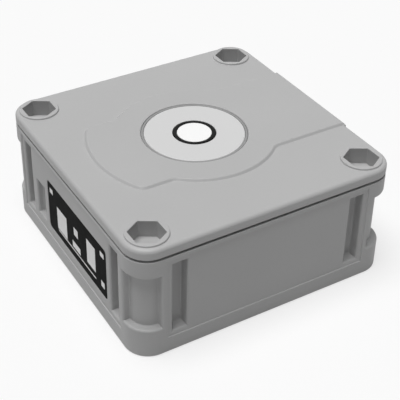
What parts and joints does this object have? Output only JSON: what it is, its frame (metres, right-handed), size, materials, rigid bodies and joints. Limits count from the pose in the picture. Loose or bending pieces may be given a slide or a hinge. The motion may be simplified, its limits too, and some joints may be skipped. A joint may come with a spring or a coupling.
{
  "type": "ultrasonic sensor",
  "caption": "Flat square ultrasonic distance sensor: grey moulded box and lid, round transducer in the lid, hex pockets at the corners, side label and round plug.",
  "frame": {"origin": "centre of the flat base, in the middle of the four fastening holes", "axes": "+Z the way the sensor looks, out of its lid; +X towards its plug; the label is on the side at -X"},
  "size_m": [0.092, 0.08, 0.0356],
  "materials": {
    "housing_plastic": "fine moulded grain, light grey",
    "lid_plastic": "fine moulded grain, light grey",
    "seal_rubber": "matt black",
    "label_film": "printed film, satin black with white marks",
    "carrier_plastic": "satin, lighter grey than the lid",
    "ring_rubber": "matt mid grey",
    "sleeve_rubber": "matt black",
    "matching_resin": "white filled resin, ground flat",
    "piezo_ceramic": "opaque ceramic with silvered faces",
    "damping_rubber": "cast filled rubber",
    "tinned_brass": "tinned",
    "board_laminate": "green solder mask on glass laminate",
    "screw_steel": "zinc plated",
    "chip_resin": "moulded black",
    "ferrite": "ground dark ferrite",
    "coil_copper": "enamelled copper winding",
    "can_aluminium": "drawn can",
    "probe_ceramic": "ceramic chip",
    "plated_brass": "turned brass, nickel plated",
    "insert_plastic": "moulded black",
    "contact_gold": "gold plated"
  },
  "bodies": {
    "root": {"housing": "housing_plastic", "lid": "lid_plastic", "lid_seal": "seal_rubber", "label": "label_film", "transducer_carrier": "carrier_plastic", "carrier_seal": "ring_rubber", "decoupling_sleeve": "sleeve_rubber", "matching_layer": "matching_resin", "piezo_disc": "piezo_ceramic", "damping_block": "damping_rubber", "transducer_cap": "carrier_plastic", "transducer_pins": "tinned_brass", "main_board": "board_laminate", "board_screws": "screw_steel", "processor_chip": "chip_resin", "driver_chips": "chip_resin", "transformer_core": "ferrite", "transformer_coil": "coil_copper", "storage_capacitors": "can_aluminium", "capacitor_bases": "chip_resin", "temperature_sensor": "probe_ceramic", "connector_board": "board_laminate", "board_link_pins": "tinned_brass", "connector_shell": "plated_brass", "connector_insert": "insert_plastic", "connector_pins": "contact_gold", "connector_seal": "seal_rubber", "connector_nut": "plated_brass"}
  },
  "joints": []
}
